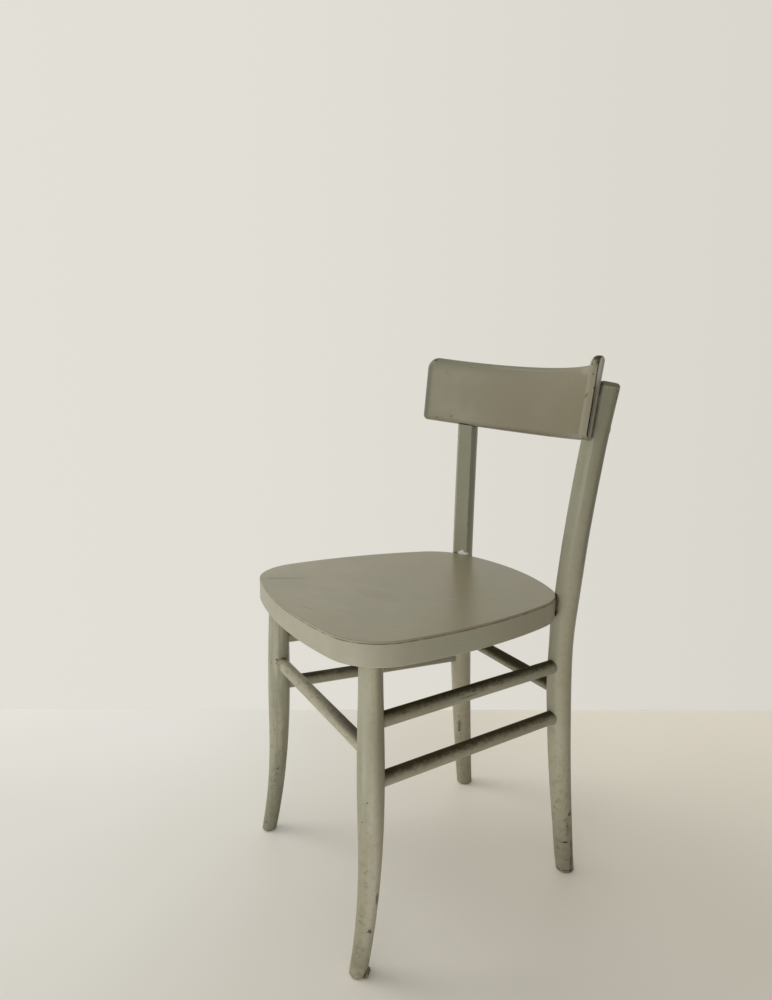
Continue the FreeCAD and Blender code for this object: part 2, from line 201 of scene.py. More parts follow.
def make_grain():
    """Wood grain and brush marks under the paint: long streaks along one way of the piece."""
    group, tree, given, out = new_group("grain", "Vector Stretch", "", "Streaks Pores")
    stretched = tree.vector_math("MULTIPLY", given["Vector"], given["Stretch"])
    streaks = tree.noise(stretched, 1.0, 5.0, 0.6)
    fine = tree.vector_math("MULTIPLY", stretched, (3.7, 3.7, 3.7))
    pores = tree.ramp(tree.noise(fine, 1.0, 3.0, 0.5), 0.6, 0.72)
    tree.feed(out["Streaks"], streaks)
    tree.feed(out["Pores"], pores)
    return group


def make_mottle():
    """Broad and small uneven tone of old brushed paint."""
    group, tree, given, out = new_group("mottle", "Vector", "", "Broad Patchy Fine")
    tree.feed(out["Broad"], tree.noise(given["Vector"], 8.0, 3.0, 0.5))
    tree.feed(out["Patchy"], tree.noise(given["Vector"], 34.0, 4.0, 0.6))
    tree.feed(out["Fine"], tree.noise(given["Vector"], 140.0, 4.0, 0.6))
    return group


def make_edge_wear():
    """Where the corners of a piece are rubbed: full at sharp edges, broken up by noise."""
    group, tree, given, out = new_group("edge_wear", "Vector", "Radius Amount", "Mask")
    bevel = tree.node("Bevel", {"Radius": given["Radius"]}, samples=6)
    geometry = tree.node("NewGeometry")
    flat = tree.vector_math("DOT_PRODUCT", bevel.outputs[0], geometry.outputs["Normal"])
    edge = tree.ramp(flat, 0.985, 0.9)
    broken = tree.noise(given["Vector"], 70.0, 5.0, 0.65)
    worn = tree.ramp(tree.math("ADD", broken, tree.product(given["Amount"], 0.5)), 0.56, 0.66)
    tree.feed(out["Mask"], tree.product(edge, worn))
    return group


def make_joint_dirt_and_shade():
    """Darkening where one piece meets another, from ambient occlusion: dirt and painted shade, with a thin
    dark line right in the corner.
    """
    group, tree, given, out = new_group("joint_dirt_and_shade", "Vector", "Reach", "Mask Line")
    nearness = tree.node("AmbientOcclusion", {"Distance": given["Reach"]}, samples=8)
    close = tree.ramp(nearness.outputs["AO"], 0.74, 0.34)
    broken = tree.ramp(tree.noise(given["Vector"], 60.0, 4.0, 0.6), 0.25, 0.6)
    tree.feed(out["Mask"], tree.product(close, broken))
    tree.feed(out["Line"], tree.product(tree.ramp(nearness.outputs["AO"], 0.6, 0.5), broken))
    return group


def make_spot():
    """A ragged blot of unit size round the origin of its own vector."""
    group, tree, given, out = new_group("spot", "Vector Place", "Ragged", "Mask")
    far = tree.vector_math("LENGTH", given["Vector"])
    broken = tree.math("SUBTRACT", tree.noise(given["Place"], 420.0, 3.0, 0.6), 0.5)
    edge = tree.math("ADD", far, tree.product(broken, given["Ragged"]))
    tree.feed(out["Mask"], tree.ramp(edge, 1.0, 0.55))
    return group


def make_scuffs():
    """Fine scratches that run every way, thicker in some places than in others."""
    group, tree, given, out = new_group("scuffs", "Vector", "Amount", "Mask")
    lines = None
    for turn, scale in SCRATCH_WAYS:
        turned = tree.mapping(given["Vector"], turn=(turn, turn * 0.6, 0.3), scale=scale)
        line = tree.ramp(tree.noise(turned, 1.0, 2.0, 0.5), 0.68, 0.74)
        lines = line if lines is None else tree.math("MAXIMUM", lines, line)
    patch = tree.noise(given["Vector"], 14.0, 3.0, 0.5)
    where = tree.ramp(tree.math("ADD", patch, tree.product(given["Amount"], 0.3)), 0.58, 0.74)
    tree.feed(out["Mask"], tree.product(lines, where))
    return group


def make_settled_dirt_and_shade():
    """Dark dust and painted shade on what looks up, with a ragged lower border drawn out along the piece."""
    group, tree, given, out = new_group("settled_dirt_and_shade", "Vector Stretch", "Start Full", "Mask Smears")
    up = tree.split(tree.node("NewGeometry").outputs["Normal"])["Z"]
    drawn_out = tree.vector_math("MULTIPLY", given["Vector"], given["Stretch"])
    grains = tree.noise(given["Vector"], 170.0, 4.0, 0.6)
    ragged = tree.math("SUBTRACT", tree.noise(drawn_out, 1.0, 5.0, 0.7), 0.5)
    uneven = tree.product(tree.math("ADD", ragged, tree.math("SUBTRACT", grains, 0.5)), 0.55)
    height = tree.math("ADD", up, uneven)
    tree.feed(out["Mask"], tree.ramp(height, given["Start"], given["Full"]))
    finer = tree.vector_math("MULTIPLY", drawn_out, (2.3, 2.3, 2.3))
    spread = tree.math("ADD", tree.noise(finer, 1.0, 4.0, 0.65), tree.product(grains, 0.6))
    smears = tree.ramp(spread, 0.78, 1.0)
    tree.feed(out["Smears"], tree.product(smears, tree.ramp(up, -0.4, 0.5)))
    return group


def make_floor_scrapes():
    """Scrapes and dirt from the floor on the lower end of a leg, thicker towards the foot."""
    group, tree, given, out = new_group("floor_scrapes", "Vector", "Height", "Dirt Lines")
    low = tree.ramp(tree.split(given["Vector"])["Z"], given["Height"], 0.0)
    stretched = tree.mapping(given["Vector"], turn=(0.25, -0.2, 0.0), scale=(90.0, 90.0, 620.0))
    lines = tree.ramp(tree.noise(stretched, 1.0, 3.0, 0.6), 0.6, 0.7)
    patches = tree.ramp(tree.noise(given["Vector"], 75.0, 4.0, 0.6), 0.4, 0.62)
    tree.feed(out["Dirt"], tree.product(low, patches))
    tree.feed(out["Lines"], tree.product(low, lines, tree.ramp(patches, 0.0, 1.0, 0.3, 1.0)))
    return group


GRAIN = make_grain()
MOTTLE = make_mottle()
EDGE_WEAR = make_edge_wear()
JOINT_DIRT_AND_SHADE = make_joint_dirt_and_shade()
SPOT = make_spot()
SCUFFS = make_scuffs()
SETTLED_DIRT_AND_SHADE = make_settled_dirt_and_shade()
FLOOR_SCRAPES = make_floor_scrapes()


class Finish(Tree):
    """A material under work: a colour, a roughness and a relief that each layer adds to."""

    def __init__(self, name, colour, rough):
        self.material = bpy.data.materials.new(name)
        self.material.use_nodes = True
        super().__init__(self.material.node_tree)
        self.tree.nodes.clear()
        self.place = self.node("TexCoord").outputs["Object"]
        self.at = self.split(self.place)
        self.height = self.at["Z"]
        self.normal = self.node("NewGeometry").outputs["Normal"]
        self.up = self.split(self.normal)["Z"]
        self.colour = colour
        self.rough = rough
        self.relief = None

    def group(self, group, **inputs):
        made = self.node("Group", node_tree=group)
        for name, value in inputs.items():
            self.feed(made.inputs[name], value)
        return made.outputs

    def layer(self, mask, colour, rough=None, relief=0.0):
        """Lays a colour over what is there where the mask is, or where several masks meet."""
        if isinstance(mask, tuple):
            mask = self.product(*mask)
        self.colour = self.mix(mask, self.colour, colour)
        if rough is not None:
            change = self.math("SUBTRACT", rough, self.rough)
            self.rough = self.math("ADD", self.rough, self.product(change, mask))
        if relief:
            self.raise_by(mask, relief)

    def raise_by(self, value, relief):
        step = self.product(value, relief)
        self.relief = step if self.relief is None else self.math("ADD", self.relief, step)

    def spot(self, at, reach, turn=(0, 0, 0), ragged=0.8):
        """A ragged blot. Its reach is given along X, Y and Z, or across and upwards."""
        if len(reach) == 2:
            reach = (reach[0], *reach)
        own = self.mapping(self.place, "TEXTURE", at, turn, reach)
        return self.group(SPOT, Vector=own, Place=self.place, Ragged=ragged)["Mask"]

    def mark(self, at, reach, colour, turn=(0, 0, 0), ragged=0.8, relief=0.0, strength=1.0):
        """One blot, scratch or chip at a place on the chair."""
        mask = self.spot(at, reach, turn, ragged)
        if strength < 1.0:
            mask = self.product(mask, strength)
        self.layer(mask, colour, relief=relief)

    def done(self, specular=0.5, **shader):
        surface = self.node("BsdfPrincipled", shader)
        surface.inputs["Specular IOR Level"].default_value = specular
        self.feed(surface.inputs["Base Color"], self.colour)
        self.feed(surface.inputs["Roughness"], self.rough)
        if self.relief is not None:
            made = self.node("Bump", {"Height": self.relief, "Strength": 1.0, "Distance": 1.0})
            self.feed(surface.inputs["Normal"], made.outputs["Normal"])
        self.surface = surface.outputs[0]
        self.output = self.node("OutputMaterial").inputs["Surface"]
        self.feed(self.output, self.surface)
        return self.material


def toned(colour, tone):
    return tuple(tone * value for value in colour)


def old_paint(name, stretch, tone=1.0, streak=0.5, rough=0.40, wear=0.35, scuff=0.2, reach=0.012, line=0.6,
              grain_turn=0.0, ripple=1.0, wash=None):
    """Satin grey-green paint over wood, with its grain, uneven tone, rubbed edges, and dirt and painted shade
    in the joints.

    The wash lays a piece's own broad tones, painted light and shade among them, under everything that is
    small."""
    finish = Finish(name, toned(PAINT, tone), rough)
    dull = toned(PAINT_DULL, tone)
    mottle = finish.group(MOTTLE, Vector=finish.place)
    along = finish.mapping(finish.place, turn=(0.0, 0.0, grain_turn)) if grain_turn else finish.place
    grain = finish.group(GRAIN, Vector=along, Stretch=stretch)
    finish.layer(finish.ramp(mottle["Broad"], 0.42, 0.75), toned(PAINT_PALE, tone))
    finish.layer((finish.ramp(mottle["Broad"], 0.55, 0.25), 0.6), dull)
    finish.layer((finish.ramp(mottle["Patchy"], 0.54, 0.7), 0.35), dull)
    if wash:
        wash(finish)
    finish.layer((finish.ramp(grain["Streaks"], 0.48, 0.72), 0.35 * streak), dull)
    finish.layer((grain["Pores"], 0.30 * streak * ripple), GRIME)
    finish.raise_by(grain["Streaks"], GRAIN_RELIEF * streak * ripple)
    finish.raise_by(mottle["Fine"], BRUSH_RELIEF * ripple)
    finish.raise_by(mottle["Broad"], WAVE_RELIEF * ripple)
    change = finish.math("SUBTRACT", mottle["Patchy"], 0.5)
    finish.rough = finish.math("ADD", rough, finish.product(change, 0.30 * ripple))
    if scuff:
        scuffs = finish.group(SCUFFS, Vector=finish.place, Amount=scuff)["Mask"]
        finish.layer((scuffs, 0.55), GRIME, 0.6, SCRATCH_RELIEF)
    if wear:
        worn = finish.group(EDGE_WEAR, Vector=finish.place, Radius=EDGE_RADIUS, Amount=wear)["Mask"]
        finish.layer((worn, 0.55), BARE_WOOD, 0.62, WORN_RELIEF)
    # Dirt and painted shade near other pieces, with a dark line in the corner
    dirt = finish.group(JOINT_DIRT_AND_SHADE, Vector=finish.place, Reach=reach)
    finish.layer((dirt["Mask"], 0.70), GRIME, 0.7)
    finish.layer((dirt["Line"], line), OLD_DIRT, 0.8)
    return finish


# ---------------- marks that the pieces share

def broken_line(finish, scale=55.0, least=0.25):
    """One along most of a line, and fainter in places."""
    return finish.ramp(finish.noise(finish.place, scale, 4.0, 0.6), 0.36, 0.56, least, 1.0)


def chips(finish, *places):
    """Small chips and dots. Each has a place, a size and a colour."""
    for x, y, z, size, colour in places:
        finish.mark((x, y, z), (CHIP * size, CHIP * size), colour, ragged=1.4, relief=CHIP_RELIEF)


def stains(finish, *places):
    """Larger marks. Each has a place, a reach, a colour, how ragged its border is, and a strength."""
    for at, reach, colour, ragged, strength in places:
        finish.mark(at, reach, colour, ragged=ragged, strength=strength)


def smudges(finish, strength, *places):
    """Soft shady patches, broken up finely. Each has a place, and its reach across and upwards."""
    fine = finish.ramp(finish.noise(finish.place, 380.0, 5.0, 0.75), 0.44, 0.62, 0.25, 1.0)
    for x, y, z, across, tall in places:
        finish.layer((finish.spot((x, y, z), (across, tall), ragged=1.2), fine, strength), PAINT_SHADE)


def patches(finish, scale, colour, strength):
    """Broad soft patches with ragged edges, as old brushed paint has."""
    patch = finish.ramp(finish.noise(finish.place, scale, 6.0, 0.62), 0.44, 0.59)
    finish.layer((patch, strength), colour)


def seat_joint(finish, starts, full):
    """The dark broken line under the panel, faint on the right. Heights are from the panel's underside."""
    line = finish.ramp(finish.height, PANEL_BOTTOM + starts, PANEL_BOTTOM + full)
    clean_end = finish.ramp(finish.at["X"], -0.14, -0.05, 0.35, 1.0)
    finish.layer((line, broken_line(finish), clean_end, 0.85), OLD_DIRT, 0.7)


def white_chip(finish):
    """Pale filler that shows where the far post passes the seat, with a thin tail along the seat's edge."""
    mask = None
    for x, y, above_seat, reach in ((-0.1262, 0.1434, 0.0015, (0.0078, 0.0078, 0.004)),
                                    (-0.1255, 0.144, 0.0035, (0.004, 0.004, 0.0036)),
                                    (-0.1205, 0.149, 0.0, (0.008, 0.008, 0.003)),
                                    (-0.115, 0.159, -0.0022, (0.007, 0.011, 0.0018))):
        part = finish.spot((x, y, SEAT_TOP + above_seat), reach, ragged=0.5)
        mask = part if mask is None else finish.math("MAXIMUM", mask, part)
    finish.layer(mask, PALE_WOOD, 0.6, FLAKE_RELIEF)


def turned_to_front(finish):
    """From 1 on the side of a leg that looks forwards to -1 on the side behind."""
    return finish.vector_math("DOT_PRODUCT", finish.normal, LEG_FRONT)


# ---------------- finishes of the seat and the board

def panel_wash(finish):
    """Warmer towards the back, and greener in patches."""
    finish.layer(finish.ramp(finish.at["Y"], -0.3, 0.1, 0.4, 1.0), SEAT_WARM)
    patches(finish, 11.0, toned(PAINT_GREEN, 1.12), 0.35)


def panel_finish():
    """Seat top: smoother, with two fine cracks, three faint marks, a joint line and a creased front rim. Its
    rounded rim has painted shade.
    """
    finish = old_paint("panel_paint", SEAT_GRAIN, tone=1.32, streak=0.7, rough=0.30, wear=0, scuff=0,
                       grain_turn=SEAT_GRAIN_TURN, ripple=0.25, wash=panel_wash)
    seat_joint(finish, 0.0011, 0.0005)
    # Painted shade on the rounded rim
    finish.layer((finish.ramp(finish.up, 0.99, 0.8), 0.3), PAINT_SHADE, 0.5)
    front_rim = finish.spot((0.03, -0.22, SEAT_TOP), (0.19, 0.075, 0.02), ragged=0.0)
    crease = finish.band(finish.up, 0.89, 0.105, 0.04)
    finish.layer((crease, front_rim, broken_line(finish, 90.0, 0.3)), OLD_DIRT, 0.8)
    for x, y, width, length, turn, colour, ragged, strength in (
            (-0.122, -0.190, 0.0019, 0.040, -0.48, GRIME, 0.3, 1.0),
            (0.030, -0.212, 0.0010, 0.022, -1.25, GRIME, 0.6, 0.6),
            (-0.090, -0.026, 0.0450, 0.003, 0.45, toned(PAINT_WARM, 0.85), 0.8, 0.6),
            (0.090, -0.016, 0.0030, 0.016, -0.60, PAINT_PALE, 0.8, 0.6),
            (0.020, -0.100, 0.0600, 0.020, 0.30, toned(PAINT_WARM, 0.88), 0.8, 0.4)):
        finish.mark((x, y, SEAT_TOP), (width, length, 0.004), colour, (0, 0, turn), ragged, strength=strength)
    white_chip(finish)
    return finish.done()


def ring_wash(finish):
    """Cooler than the rest, but warm again towards the back."""
    finish.layer(0.55, RING_PAINT)
    finish.layer((finish.ramp(finish.at["Y"], -0.08, 0.1), 0.55), toned(PAINT_WARM, 0.98))


def ring_finish():
    """Bent ring, with the dark line of the joint along its top edge, and a painted highlight on its front
    corner.
    """
    finish = old_paint("ring_paint", AROUND, tone=1.08, wear=0.05, scuff=0.1, wash=ring_wash)
    seat_joint(finish, -0.0009, -0.0003)
    # A painted highlight: a pale band on the front corner
    finish.mark((0.215, -0.19, 0.44), (0.02, 0.01, 0.03), PAINT_PALE, ragged=0.3, strength=0.6)
    return finish.done()


def board_places(finish):
    """Where a place is on the board: along its own axes, and in from its back face and its nearer end."""
    own = finish.split(finish.mapping(finish.place, "TEXTURE", BEND_AXIS, (BOARD_LEAN, 0.0, 0.0)))
    squares = finish.math("ADD", finish.product(own["X"], own["X"]), finish.product(own["Y"], own["Y"]))
    reach = finish.math("SQRT", squares)
    turn = finish.math("ABSOLUTE", finish.math("ARCTAN2", own["X"], own["Y"]))
    end_turn = finish.math("ADD", BOARD_END_TURN, finish.product(own["Z"], BOARD_FLARE))
    from_back = finish.math("SUBTRACT", BOARD_BACK_REACH, reach)
    to_end = finish.product(finish.math("SUBTRACT", end_turn, turn), reach)
    return own, from_back, to_end


def board_wash(finish):
    """Warmer from the middle to the left end, greener in patches and along the top of the right end, and with
    painted shade on the right end's edge.
    """
    own, _, to_end = board_places(finish)
    middle = finish.ramp(own["X"], -0.19, -0.03)
    finish.layer((middle, finish.ramp(to_end, 0.0, 0.03, 0.75, 1.0), 0.92), toned(PAINT_WARM, 0.71))
    patches(finish, 17.0, PAINT_GREEN, 0.18)
    top_right = finish.product(finish.ramp(own["X"], 0.06, -0.17), finish.ramp(own["Z"], 0.086, 0.106))
    finish.layer((top_right, 0.7), toned(PAINT_GREEN, 0.85))
    # Painted shade on the right end's edge, where the rounded edge catches the light
    right_end_painted_shade = finish.product(finish.ramp(own["X"], -0.15, -0.19), finish.ramp(to_end, 0.011, 0.003))
    finish.layer((right_end_painted_shade, 0.9), toned(PAINT_GREEN, 0.62))


def board_rear_corner(finish, places, left_end, broken):
    """Rear corner of the ends: a dark arris, and on the left a worn strip, and dirt along the post."""
    _, from_back, to_end = places
    rear = finish.ramp(from_back, 0.0017, 0.0011)
    strip = finish.product(rear, left_end, finish.ramp(to_end, 0.015, 0.0095),
                           finish.ramp(finish.height, POST_TOP + 0.006, POST_TOP - 0.006))
    finish.layer((strip, 0.75), toned(PAINT_WARM, 0.62), 0.8)
    flecks = finish.ramp(finish.noise(finish.place, 330.0, 4.0, 0.7), 0.54, 0.62)
    finish.layer((strip, flecks, 0.8), WORN_BROWN, 0.8)
    finish.layer((rear, finish.ramp(to_end, 0.0026, 0.0018), broken), LINE_DIRT, 1.0)
    beside_post = finish.product(finish.band(to_end, POST_STARTS, 0.0022, 0.0014), left_end,
                                 finish.ramp(from_back, 0.002, 0.001),
                                 finish.ramp(finish.height, POST_TOP - 0.002, POST_TOP - 0.01), broken)
    finish.layer((beside_post, 0.9), OLD_DIRT, 0.8)


def board_top_corner(finish, places, left_end, broken):
    """Top corner of the ends: bare wood, darker towards the back, with a pale arris on the left."""
    own, from_back, to_end = places
    top = finish.product(finish.ramp(finish.up, 0.58, 0.86), finish.ramp(to_end, 0.024, 0.012))
    finish.layer((top, broken, 0.97), toned(BARE_WOOD, 0.55), 0.9)
    finish.layer((top, finish.ramp(from_back, 0.011, 0.004), 0.9), toned(BARE_WOOD, 0.25), 0.9)
    corner = finish.product(finish.ramp(from_back, 0.0056, 0.003), finish.ramp(to_end, 0.006, 0.003),
                            finish.ramp(own["Z"], 0.092, 0.101))
    finish.layer((corner, 0.97), LINE_DIRT, 0.9)
    pale = finish.product(finish.ramp(from_back, 0.0008, 0.0), finish.ramp(own["Z"], 0.05, 0.098), left_end,
                          finish.ramp(to_end, 0.024, 0.006))
    finish.layer((pale, 0.5), PALE_WOOD)


def board_finish():
    """Backrest board: a few chips in front, and corners worn down to the wood at the ends."""
    finish = old_paint("board_paint", AROUND, tone=1.02, streak=0.3, rough=0.46, wear=0.2, scuff=0.1,
                       line=0.95, wash=board_wash)
    places = board_places(finish)
    left_end = finish.ramp(places[0]["X"], -0.01, 0.01)
    broken = finish.ramp(finish.noise(finish.place, 210.0, 4.0, 0.7), 0.34, 0.46, 0.6, 1.0)
    finish.mark((0.108, 0.199, 0.78), (0.03, 0.02, 0.007), PAINT_PALE, ragged=0.5, strength=0.4)
    board_rear_corner(finish, places, left_end, broken)
    board_top_corner(finish, places, left_end, broken)
    chips(finish, (0.2055, 0.121, 0.7895, 1.1, OLD_DIRT), (0.2035, 0.1225, 0.7925, 1.0, OLD_DIRT),
          (0.2093, 0.12, 0.7765, 0.9, WORN_BROWN), (0.2125, 0.1202, 0.7583, 1.5, OLD_DIRT),
          (0.2025, 0.1145, 0.748, 1.6, WORN_BROWN), (0.2045, 0.1148, 0.75, 1.3, GRIME),
          (0.201, 0.1145, 0.7465, 1.3, GRIME), (-0.1975, 0.129, 0.7965, 1.6, WORN_BROWN),
          (-0.1945, 0.13, 0.796, 1.2, GRIME), (-0.1983, 0.1175, 0.6935, 1.2, WORN_BROWN),
          (-0.1847, 0.1257, 0.6967, 1.0, GRIME), (-0.1673, 0.144, 0.699, 1.2, GRIME),
          (-0.1483, 0.1758, 0.7864, 0.8, PALE_WORN), (-0.15, 0.1745, 0.785, 1.2, PAINT_SHADE))
    return finish.done()


# ---------------- finishes of the legs

def leg_paint(name, tone, wash, foot=0.10):
    """Leg paint, scraped and dirty towards the floor, most of all below the foot's height."""
    finish = old_paint(name, ALONG_Z, tone=tone, streak=0.8, rough=0.36, wear=0.15, scuff=0.25, line=0.85,
                       wash=wash)
    blotches = finish.ramp(finish.noise(finish.place, 110.0, 5.0, 0.7), 0.48, 0.66)
    finish.layer((blotches, finish.ramp(finish.height, 0.32, 0.04, 0.14, 0.45)), PAINT_SHADE)
    scrapes = finish.group(FLOOR_SCRAPES, Vector=finish.place, Height=foot)
    finish.layer((scrapes["Dirt"], 0.45), PAINT_GREEN, 0.6)
    finish.layer((scrapes["Lines"], 0.60), PAINT_SHADE, 0.7, SCRAPE_RELIEF)
    return finish


def near_front_leg_wash(finish):
    """Duller below the stretchers, with painted shade, greener in front and darker behind, and a painted
    highlight band between.
    """
    height = finish.height
    finish.layer(finish.ramp(height, 0.4, 0.31, 0.0, 0.8), toned(PAINT_DULL, 1.01))
    front = turned_to_front(finish)
    # Painted shade, greener, on the side that looks forwards
    finish.layer((finish.ramp(front, -0.05, 0.5), finish.ramp(height, 0.15, 0.27), 0.6),
                 toned(PAINT_GREEN, 1.1))
    # Painted shade on the side behind
    finish.layer((finish.ramp(front, -0.25, -0.8), finish.ramp(height, 0.18, 0.38), 0.7), PAINT_SHADE)
    # A painted highlight band between them, a window's reflection in the satin paint
    rubbed = finish.product(finish.band(front, 0.0, 0.38, 0.1), finish.ramp(height, 0.18, 0.22),
                            finish.ramp(height, 0.345, 0.315))
    finish.layer((rubbed, 0.42), toned(PAINT_PALE, 1.15))


def near_front_leg_finish():
    """Front leg on the sitter's left: dotted with small marks, one of them deep."""
    finish = leg_paint("near_front_leg_paint", 1.24, near_front_leg_wash)
    chips(finish, (0.1856, -0.198, 0.2462, 0.8, WORN_BROWN), (0.1801, -0.2024, 0.2182, 0.8, WORN_BROWN),
          (0.1858, -0.1985, 0.205, 0.6, PAINT_SHADE), (0.1892, -0.1964, 0.067, 1.8, LINE_DIRT),
          (0.189, -0.1952, 0.0648, 1.5, LINE_DIRT), (0.1889, -0.1978, 0.0662, 1.5, LINE_DIRT))
    stains(finish, ((0.1884, -0.2, 0.0662), (0.0035, 0.0009), GRIME, 1.0, 0.8),
           ((0.1875, -0.185, 0.109), (0.0034, 0.011), OLD_DIRT, 1.2, 0.8))
    smudges(finish, 0.95,
            (0.1841, -0.2004, 0.1484, 0.003, 0.0026), (0.1859, -0.1985, 0.1518, 0.0024, 0.002),
            (0.185, -0.2002, 0.1347, 0.003, 0.003), (0.1852, -0.2003, 0.129, 0.0032, 0.0032),
            (0.1854, -0.2004, 0.1175, 0.0022, 0.0022), (0.1837, -0.2048, 0.087, 0.006, 0.0016),
            (0.1819, -0.2068, 0.079, 0.006, 0.0024), (0.185, -0.203, 0.076, 0.004, 0.002),
            (0.1818, -0.2112, 0.0446, 0.007, 0.002), (0.18, -0.212, 0.04, 0.004, 0.005),
            (0.188, -0.206, 0.042, 0.004, 0.005), (0.1842, -0.211, 0.036, 0.007, 0.0016),
            (0.1857, -0.2103, 0.0318, 0.003, 0.002))
    rim = finish.ramp(finish.height, 0.02, 0.01)
    finish.layer((rim, broken_line(finish, 190.0, 0.0), 0.6), toned(PALE_WORN, 0.95), 0.6)
    return finish.done()


def far_front_leg_wash(finish):
    """Greener towards the floor and in long streaks, with greener painted shade in front and a painted
    highlight band behind.
    """
    height = finish.height
    finish.layer((finish.ramp(height, 0.22, 0.02), 0.55), toned(PAINT_GREEN, 0.9))
    front = turned_to_front(finish)
    # Painted shade, greener, on the side that looks forwards
    finish.layer((finish.ramp(front, 0.0, 0.5), finish.ramp(height, 0.12, 0.3), 0.35),
                 toned(PAINT_GREEN, 1.1))
    # A painted highlight band on the side behind
    finish.layer((finish.band(front, -0.4, 0.4, 0.1), finish.ramp(height, 0.2, 0.34), 0.45),
                 toned(PAINT_PALE, 1.25))
    tall = finish.vector_math("MULTIPLY", finish.place, (110.0, 110.0, 9.0))
    finish.layer((finish.ramp(finish.noise(tall, 1.0, 4.0, 0.6), 0.42, 0.6), 0.75), toned(PAINT_GREEN, 1.18))


def far_front_leg_finish():
    """Front leg on the sitter's right: greener and darker towards the floor."""
    finish = leg_paint("far_front_leg_paint", 1.20, far_front_leg_wash, foot=0.20)
    streak = finish.group(GRAIN, Vector=finish.place, Stretch=(260.0, 260.0, 9.0))["Streaks"]
    finish.layer((finish.ramp(streak, 0.5, 0.66), finish.ramp(finish.height, 0.3, 0.1), 0.5),
                 PAINT_GREEN, 0.6)
    chips(finish, (-0.161, -0.1959, 0.1155, 1.3, GRIME), (-0.174, -0.2045, 0.1786, 2.2, OLD_DIRT),
          (-0.1705, -0.2157, 0.0166, 1.4, GRIME), (-0.156, -0.1945, 0.312, 1.6, WORN_BROWN),
          (-0.164, -0.201, 0.305, 1.1, WORN_BROWN))
    smudges(finish, 0.75,
            (-0.1622, -0.1984, 0.1054, 0.005, 0.004), (-0.1631, -0.2002, 0.0926, 0.0045, 0.0035),
            (-0.165, -0.2, 0.085, 0.006, 0.0024), (-0.16, -0.195, 0.118, 0.004, 0.005))
    return finish.done()


def post_top_dirt(finish):
    """The rounded top of a post: greener, with a dark line where it turns down."""
    high = finish.ramp(finish.height, POST_TOP - 0.016, POST_TOP - 0.01)
    finish.layer((finish.ramp(finish.up, 0.25, 0.6), high, 0.8), toned(PAINT_GREEN, 0.75), 0.6)
    line = finish.band(finish.up, 0.3, 0.16, 0.04)
    finish.layer((line, high, broken_line(finish, 120.0), 0.85), OLD_DIRT, 0.7, FLAKE_RELIEF)


def rear_leg_wash(finish):
    """What both rear legs share: greener up at the post, painted shade at its back, and duller at the foot.
    """
    height = finish.height
    finish.layer((finish.ramp(height, 0.4, 0.66), 0.62), PAINT_GREEN)
    # Painted shade on the side that looks back
    behind = finish.ramp(finish.split(finish.normal)["Y"], -0.3, 0.35)
    finish.layer((behind, finish.ramp(height, 0.42, 0.56, 0.15, 0.8)), toned(PAINT_SHADE, 0.8))
    finish.layer((finish.ramp(height, 0.16, 0.02), 0.65), toned(PAINT_DULL, 0.9))


def near_rear_leg_wash(finish):
    """Painted shade: greener on its front side, thinly at the foot and behind the board, and darker beside
    the seat.
    """
    rear_leg_wash(finish)
    height, front = finish.height, turned_to_front(finish)
    # Greener painted shade on the front side
    greener = finish.product(finish.ramp(front, 0.1, 0.55), finish.ramp(height, 0.1, 0.4, 0.1, 1.0),
                             finish.ramp(height, 0.64, 0.54, 0.4, 1.0))
    finish.layer((greener, 0.58), toned(PAINT_GREEN, 1.1))
    # Painted shade beside the seat
    painted_shade_beside_seat = finish.product(finish.ramp(front, 0.55, 0.9), finish.ramp(height, 0.43, 0.47),
                                 finish.ramp(height, 0.58, 0.5))
    finish.layer((painted_shade_beside_seat, 0.5), PAINT_SHADE)


